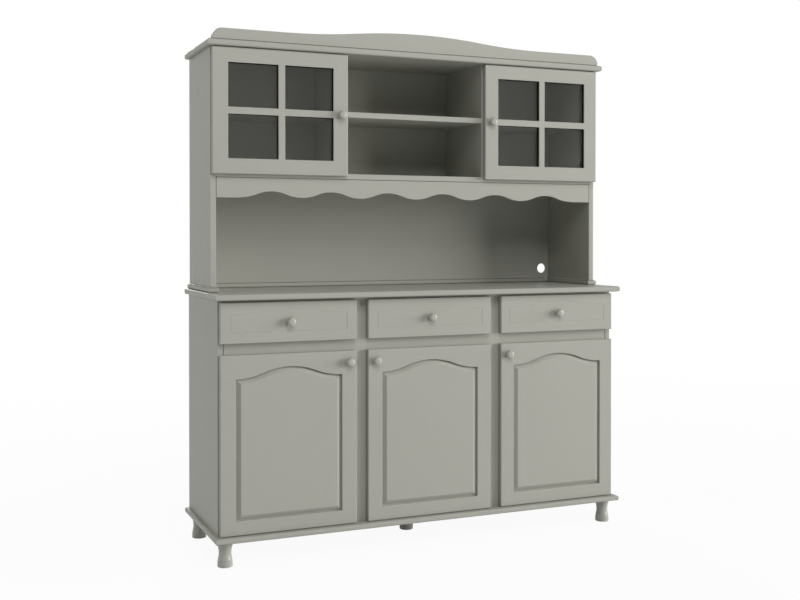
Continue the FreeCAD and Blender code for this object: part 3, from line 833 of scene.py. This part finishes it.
class Hinge:
    """Places on one concealed hinge, measured from its pin towards the middle of its door."""

    cup_radius = 0.0175
    back_face = 0.010
    cup_centre = 0.0115
    arm_face = 0.015
    plate_middle = 0.049

    def __init__(self, joint):
        self.body = joint["child"]
        self.pin = Vector(joint["pos_m"])
        self.towards = 1 if joint["axis"][2] < 0 else -1
        self.inward = self.towards * RIGHT
        self.cups = next(node for node in frame["nodes"]
                         if "hinge_cups" in node and body_of(node) == self.body)
        low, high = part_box(self.cups)
        self.levels = (low.z + self.cup_radius, high.z - self.cup_radius)
        wall_low, wall_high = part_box(HINGE_WALLS[self.body])
        self.wall = wall_high.x if self.towards > 0 else wall_low.x

    def at(self, inward, backward, level, rise=0.0):
        """A point beside the pin at one of the two levels."""
        return Vector((self.pin.x + self.towards * inward, self.pin.y + backward, level + rise))

    def on_wall(self, out, backward, level, rise=0.0):
        """A point that stands out from the cupboard wall at one of the two levels."""
        return Vector((self.wall + self.towards * out, self.pin.y + backward, level + rise))


def all_hinges():
    return [Hinge(joint) for joint in frame["joints"] if joint["type"] == "hinge"]


class DRESSER_OT_hinges(bpy.types.Operator):
    """Fit flanges, wings and screws to the concealed hinges"""

    bl_idname = "dresser.hinges"
    bl_label = "Hinge plates and screws"

    flange_half = (0.0085, 0.027)
    wing_half = (0.008, 0.026)
    end_rounding = 0.0076
    flange_screw = 0.020
    wing_screw = 0.018
    arm_screws = (0.036, 0.060)
    slot_end = 0.0156
    slot_half = 0.0056

    def rounded_plate(self, name, corner, opposite, axis):
        """A thin plate, lying across one axis, with rounded ends."""
        piece = box_piece(name, corner, opposite)
        pick(piece, "EDGE", lambda edge: runs_along(edge, axis))
        bpy.ops.mesh.bevel(offset=self.end_rounding, segments=7)
        return finish_piece(piece)

    def flange(self, hinge, level, thickness):
        """The screw flange on the back of the door, open where the arm swings."""
        wide, tall = self.flange_half
        plate = self.rounded_plate(
            "flange", hinge.at(hinge.cup_centre - wide, hinge.back_face, level, -tall),
            hinge.at(hinge.cup_centre + wide, hinge.back_face + thickness, level, tall), axis=1)
        slot = box_piece(
            "slot", hinge.at(0.0, hinge.back_face - thickness, level, -self.slot_half),
            hinge.at(self.slot_end, hinge.back_face + 2 * thickness, level, self.slot_half))
        cut_away(plate, slot)
        return finish_piece(plate)

    def wing(self, hinge, level, thickness):
        """The cross wings of the mounting plate, on the cupboard wall."""
        wide, tall = self.wing_half
        return self.rounded_plate(
            "wing", hinge.on_wall(0.0, hinge.plate_middle - wide, level, -tall),
            hinge.on_wall(thickness, hinge.plate_middle + wide, level, tall), axis=0)

    def execute(self, context):
        hardware = context.scene.dresser_hardware
        thickness = hardware.plate_thickness
        screw = screw_pattern(hardware)
        wings, wing_places = [], []
        for hinge in all_hinges():
            flanges, places = [], []
            for level in hinge.levels:
                flanges.append(self.flange(hinge, level, thickness))
                wings.append(self.wing(hinge, level, thickness))
                places += [(hinge.at(hinge.cup_centre, hinge.back_face + thickness, level, rise), BACKWARD)
                           for rise in (-self.flange_screw, self.flange_screw)]
                wing_places += [(hinge.on_wall(thickness, hinge.plate_middle, level, rise), hinge.inward)
                                for rise in (-self.wing_screw, self.wing_screw)]
                wing_places += [(hinge.at(hinge.arm_face, backward, level), hinge.inward)
                                for backward in self.arm_screws]
            flanges.append(place_copies(screw, places, "screws"))
            trim = join(flanges, hinge.cups.replace("cups", "flanges"))
            fit(trim, hinge.body, zinc_steel())
        wings.append(place_copies(screw, wing_places, "screws"))
        fit(join(wings, "hinge_wings"), "cabinet", zinc_steel())
        bpy.data.objects.remove(screw)
        return {"FINISHED"}


class DRESSER_OT_drawers(bpy.types.Operator):
    """Fit the cams that hold the drawer fronts, and the bolts of all knobs"""

    bl_idname = "dresser.drawers"
    bl_label = "Drawer cams and knob bolts"

    cam_radius = 0.0075
    cam_rim = 0.00236
    cam_height = 0.0026
    slot_depth = 0.0012
    cam_setback = 0.024
    side_thickness = 0.012
    cam_rises = (0.26, 0.74)
    bolt_scale = 1.35

    def cam_pattern(self):
        """A cam disc, its slot on the side of the wood."""
        radius, depth = self.cam_radius, self.slot_depth
        outline = [(radius, 0.0), (radius, self.cam_rim), (0.94 * radius, self.cam_height)]
        cam = turn_piece("cam_pattern", outline, facets=24)
        cut_away(cam, box_piece("cam_slot", (-0.6 * radius, -0.1 * radius, -depth),
                                (0.6 * radius, 0.1 * radius, depth)))
        return finish_piece(cam)

    def execute(self, context):
        cam = self.cam_pattern()
        for bay in ("left", "centre", "right"):
            low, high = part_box(bay + "_drawer_box")
            walls = ((low.x + self.side_thickness, RIGHT), (high.x - self.side_thickness, -RIGHT))
            places = [(Vector((wall, low.y + self.cam_setback, low.z + share * (high.z - low.z))), inward)
                      for wall, inward in walls for share in self.cam_rises]
            cams = place_copies(cam, places, bay + "_drawer_cams")
            fit(cams, body_of(bay + "_drawer_box"), zinc_steel())
        bpy.data.objects.remove(cam)

        bolt = screw_pattern(context.scene.dresser_hardware, self.bolt_scale)
        for node in FRONTS:
            places = [(knob_axis(node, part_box(node)[1].y), BACKWARD)]
            made = place_copies(bolt, places, node.replace("_front", "") + "_knob_bolt")
            fit(made, body_of(node), zinc_steel())
        bpy.data.objects.remove(bolt)
        return {"FINISHED"}


class DRESSER_OT_glazing(bpy.types.Operator):
    """Line each pane's reveal with a black seal whose black paints the reveal's shade, and clip the glass
    into the hutch doors
    """

    bl_idname = "dresser.glazing"
    bl_label = "Glass seals and clips"

    seal_width = 0.0008
    seal_depth = 0.0122
    margin = 0.001
    clip_half = 0.006
    on_glass = 0.005
    on_frame = 0.011
    thickness = 0.0016
    clip_easing = (0.0007, 0.0004)
    screw_back = 0.006
    screw_scale = 0.8
    clip_places = (0.2, 0.8)

    def openings(self, side):
        """Limits of the panes that show in a glazed door, along X and along Z."""
        low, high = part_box(side + "_glass")
        inside = [corner for corner in corners_of(side + "_glazed_door")
                  if abs(corner.y - low.y) < NEAR
                  and low.x + self.margin < corner.x < high.x - self.margin
                  and low.z + self.margin < corner.z < high.z - self.margin]
        return [sorted({round(corner[axis], 5) for corner in inside}) for axis in (0, 2)]

    def seal_pattern(self, width, height):
        """A soft strip round one pane, its back on the glass; it lines the reveal, where its black stands in
        for shade.
        """
        outer_x, outer_z = width / 2, height / 2
        inner_x, inner_z = outer_x - self.seal_width, outer_z - self.seal_width
        seal = box_piece("seal_pattern", (-outer_x, -self.seal_depth, -outer_z), (outer_x, 0, outer_z))
        cut_away(seal, box_piece("hole", (-inner_x, -2 * self.seal_depth, -inner_z),
                                 (inner_x, self.seal_depth, inner_z)))
        open_up(seal)
        pick(seal, "EDGE", lambda edge: all(
            vertex.co.y < -0.99 * self.seal_depth and abs(vertex.co.x) < inner_x + NEAR
            and abs(vertex.co.z) < inner_z + NEAR for vertex in edge.verts))
        bpy.ops.mesh.bevel(offset=0.4 * self.seal_width, segments=3)
        return finish_piece(seal)

    def seal(self, side):
        """One black seal round each pane of a door, its black painting the shade in the reveals."""
        columns, rows = self.openings(side)
        glass_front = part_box(side + "_glass")[0].y
        pattern = self.seal_pattern(columns[1] - columns[0], rows[1] - rows[0])
        places = [(Vector(((columns[i] + columns[i + 1]) / 2, glass_front, (rows[j] + rows[j + 1]) / 2)), UP)
                  for i in range(0, len(columns), 2) for j in range(0, len(rows), 2)]
        seals = place_copies(pattern, places, side + "_glass_seals")
        bpy.data.objects.remove(pattern)
        # The seals' black is painted shade: it darkens the pane reveals where shade falls.
        fit(seals, body_of(side + "_glass"), dark_rubber())

    def clip_pattern(self):
        """A small clip with rounded corners that points along X over the glass."""
        clip = box_piece("clip_pattern", (-self.on_frame, -self.clip_half, 0),
                         (self.on_glass, self.clip_half, self.thickness))
        pick(clip, "EDGE", lambda edge: runs_along(edge, 2))
        bpy.ops.mesh.bevel(offset=0.6 * self.clip_half, segments=4)
        pick(clip, "FACE", lambda face: face.normal.z > 0.9)
        inward, upward = self.clip_easing
        bpy.ops.mesh.inset(thickness=inward, depth=0.0)
        bpy.ops.transform.translate(value=(0, 0, upward))
        return finish_piece(clip)

    def edges(self, low, high):
        """Points round the back of a pane where clips sit, each with the way that its clip points."""
        for share in self.clip_places:
            x, z = (low + share * (high - low)).xz
            yield Vector((low.x, high.y, z)), RIGHT
            yield Vector((high.x, high.y, z)), -RIGHT
            yield Vector((x, high.y, low.z)), UP
            yield Vector((x, high.y, high.z)), -UP

    def execute(self, context):
        clip = self.clip_pattern()
        screw = screw_pattern(context.scene.dresser_hardware, self.screw_scale)
        for side in ("left", "right"):
            self.seal(side)
            pieces, screws = [], []
            for edge, way in self.edges(*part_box(side + "_glass")):
                turn = Matrix((way, BACKWARD.cross(way), BACKWARD)).transposed()
                pieces.append(placed_copy(clip, edge, turn))
                screws.append((edge - way * self.screw_back + BACKWARD * self.thickness, BACKWARD))
            pieces.append(place_copies(screw, screws, "heads"))
            clips = join(pieces, side + "_glass_clips")
            fit(clips, body_of(side + "_glass"), zinc_steel())
        bpy.data.objects.remove(clip)
        bpy.data.objects.remove(screw)
        return {"FINISHED"}


class DRESSER_OT_pads(bpy.types.Operator):
    """Put soft pads behind the free edges of doors and drawer fronts"""

    bl_idname = "dresser.pads"
    bl_label = "Soft pads"

    edge_inset = 0.007
    end_inset = 0.014
    dome_angle = 1.4

    def pad_pattern(self, radius, height):
        """A domed disc."""
        rim = 0.4 * height
        outline = [(radius, 0.0), (radius, rim)]
        outline += [(radius * max(0.1, cos(share * self.dome_angle)),
                     rim + (height - rim) * sin(share * self.dome_angle)) for share in shares(5)]
        return turn_piece("pad_pattern", outline, facets=20)

    def execute(self, context):
        hardware = context.scene.dresser_hardware
        pad = self.pad_pattern(hardware.pad_radius, hardware.pad_height)
        ways = {hinge.body: hinge.towards for hinge in all_hinges()}
        for node in FRONTS:
            low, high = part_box(node)
            columns = [low.x + self.edge_inset, high.x - self.edge_inset]
            if body_of(node) in ways:
                columns = columns[1:] if ways[body_of(node)] > 0 else columns[:1]
            places = [(Vector((x, high.y, z)), BACKWARD) for x in columns
                      for z in (low.z + self.end_inset, high.z - self.end_inset)]
            pads = place_copies(pad, places, node.replace("_front", "") + "_pads")
            fit(pads, body_of(node), soft_rubber())
        bpy.data.objects.remove(pad)
        return {"FINISHED"}


class DRESSER_OT_back(bpy.types.Operator):
    """Drive the screws that hold the back panels to shelves and dividers"""

    bl_idname = "dresser.back"
    bl_label = "Back screws"

    end_inset = 0.05
    per_board = 4
    boards = {
        "hutch_back": ("hutch_floor", "centre_shelf", "hutch_left_divider", "hutch_right_divider"),
        "base_back": ("left_divider", "right_divider"),
    }

    def along_board(self, node, panel):
        """Even places along the middle of a board, on the back of a panel."""
        low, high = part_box(node)
        axis = "xyz".index(longest_axis(node))
        reach = (high[axis] - low[axis]) / 2 - self.end_inset
        for step in range(self.per_board):
            point = (low + high) / 2
            point.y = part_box(panel)[1].y
            point[axis] += reach * (2 * step / (self.per_board - 1) - 1)
            yield point, BACKWARD

    def execute(self, context):
        places = [place for panel, nodes in self.boards.items() for node in nodes
                  for place in self.along_board(node, panel)]
        screw = screw_pattern(context.scene.dresser_hardware)
        screws = place_copies(screw, places, "back_screws")
        bpy.data.objects.remove(screw)
        fit(screws, "cabinet", zinc_steel())
        return {"FINISHED"}


class DRESSER_OT_stage(bpy.types.Operator):
    """Set up the pale floor, the soft lamps and the camera"""

    bl_idname = "dresser.stage"
    bl_label = "Studio"

    floor_radius = 9.0
    rim_width = 0.4
    shadow_reach = 1.2
    near_glow = 0.94
    aim = Vector((0.0, 0.0, 0.9))

    def floor(self):
        """A wide round floor with a rim."""
        floor = disc_piece("studio_floor", 96, self.floor_radius)
        bpy.ops.mesh.inset(thickness=self.rim_width, depth=0)
        set_free()
        floor.data.materials.append(self.studio_white())

    def studio_white(self):
        """Matt white that takes a pale shadow near the dresser and is plain white far away."""
        material, tree, shader = new_material("studio_white")
        tone = between(tree, noise(tree, 1.4, 2.0), 0.80, 0.82)
        grey = add(tree, "ShaderNodeCombineColor", {0: tone, 1: tone, 2: tone})
        lead(tree, {"Base Color": grey.outputs[0], "Roughness": 0.9, "Specular IOR Level": 0.1},
             shader.inputs)
        place = add(tree, "ShaderNodeTexCoord").outputs["Object"]
        distance = add(tree, "ShaderNodeVectorMath", {0: place}, operation="LENGTH").outputs["Value"]
        glow = between(tree, distance, self.near_glow, 1.0, (self.shadow_reach, 0.6 * self.floor_radius))
        white = add(tree, "ShaderNodeEmission", {"Color": WHITE, "Strength": 1.0})
        show_either(tree, calculated(tree, "MULTIPLY", self.seen(tree), glow),
                    shader.outputs["BSDF"], white.outputs["Emission"])
        return material

    def seen(self, tree):
        """One where the eye, a reflection or a view through glass meets the surface."""
        rays = add(tree, "ShaderNodeLightPath").outputs
        plain = calculated(tree, "MAXIMUM", rays["Is Camera Ray"], rays["Is Glossy Ray"])
        return calculated(tree, "MAXIMUM", plain, rays["Is Transmission Ray"])

    def surround(self, strength):
        """Even light from all round, white to the eye."""
        world = bpy.data.worlds.new("studio")
        bpy.context.scene.world = world
        world.use_nodes = True
        tree = world.node_tree
        level = between(tree, self.seen(tree), strength, 1.0, (0.0, 1.0))
        lead(tree, {"Strength": level, "Color": WHITE}, tree.nodes["Background"].inputs)

    def lamp(self, name, place, size, mirrored, power):
        """A soft lamp that points at the dresser."""
        light = bpy.data.lights.new(name, "AREA")
        light.shape = "RECTANGLE"
        light.size, light.size_y = size
        light.energy = power
        lamp = bpy.data.objects.new(name, light)
        lamp.location = place
        lamp.visible_camera = False
        lamp.visible_glossy = mirrored
        lamp.rotation_euler = (self.aim - Vector(place)).to_track_quat("-Z", "Y").to_euler()
        bpy.context.scene.collection.objects.link(lamp)

    def execute(self, context):
        stage = context.scene.dresser_stage
        self.floor()
        self.surround(stage.surround)
        for side, details in LAMPS.items():
            self.lamp(side + "_lamp", *details, getattr(stage, side + "_power"))
        lens = bpy.data.cameras.new("camera")
        lens.lens = stage.lens
        lens.shift_y = stage.rise
        camera = bpy.data.objects.new("camera", lens)
        camera.location = stage.camera_place
        camera.rotation_euler = (pi / 2 - stage.camera_dip, 0, -stage.camera_turn)
        context.scene.collection.objects.link(camera)
        context.scene.camera = camera
        context.scene.view_settings.view_transform = "Standard"
        return {"FINISHED"}


class DRESSER_PT_panel(bpy.types.Panel):
    """The dresser's pieces and sizes in the sidebar"""

    bl_idname = "DRESSER_PT_panel"
    bl_label = "Dresser with hutch"
    bl_space_type = "VIEW_3D"
    bl_region_type = "UI"
    bl_category = "Dresser"

    def draw(self, context):
        for settings in SETTINGS:
            group = getattr(context.scene, settings)
            column = self.layout.column(align=True)
            for key in group.bl_rna.properties.keys():
                if key not in ("rna_type", "name"):
                    column.prop(group, key)
        for operator in OPERATORS:
            self.layout.operator(operator.bl_idname)


SETTINGS = {
    "dresser_paint": PaintSettings,
    "dresser_turning": TurningSettings,
    "dresser_hardware": HardwareSettings,
    "dresser_stage": StageSettings,
}
OPERATORS = (
    DRESSER_OT_boards,
    DRESSER_OT_joints,
    DRESSER_OT_feet,
    DRESSER_OT_fronts,
    DRESSER_OT_hinges,
    DRESSER_OT_drawers,
    DRESSER_OT_glazing,
    DRESSER_OT_pads,
    DRESSER_OT_back,
    DRESSER_OT_stage,
)


def register():
    for settings, group in SETTINGS.items():
        bpy.utils.register_class(group)
        setattr(bpy.types.Scene, settings, PointerProperty(type=group))
    for operator in OPERATORS:
        bpy.utils.register_class(operator)
    bpy.utils.register_class(DRESSER_PT_panel)


def unregister():
    bpy.utils.unregister_class(DRESSER_PT_panel)
    for operator in reversed(OPERATORS):
        bpy.utils.unregister_class(operator)
    for settings, group in SETTINGS.items():
        delattr(bpy.types.Scene, settings)
        bpy.utils.unregister_class(group)


def main():
    register()
    for operator in OPERATORS:
        group, name = operator.bl_idname.split(".")
        getattr(getattr(bpy.ops, group), name)()
    set_free()


if __name__ == "__main__":
    main()
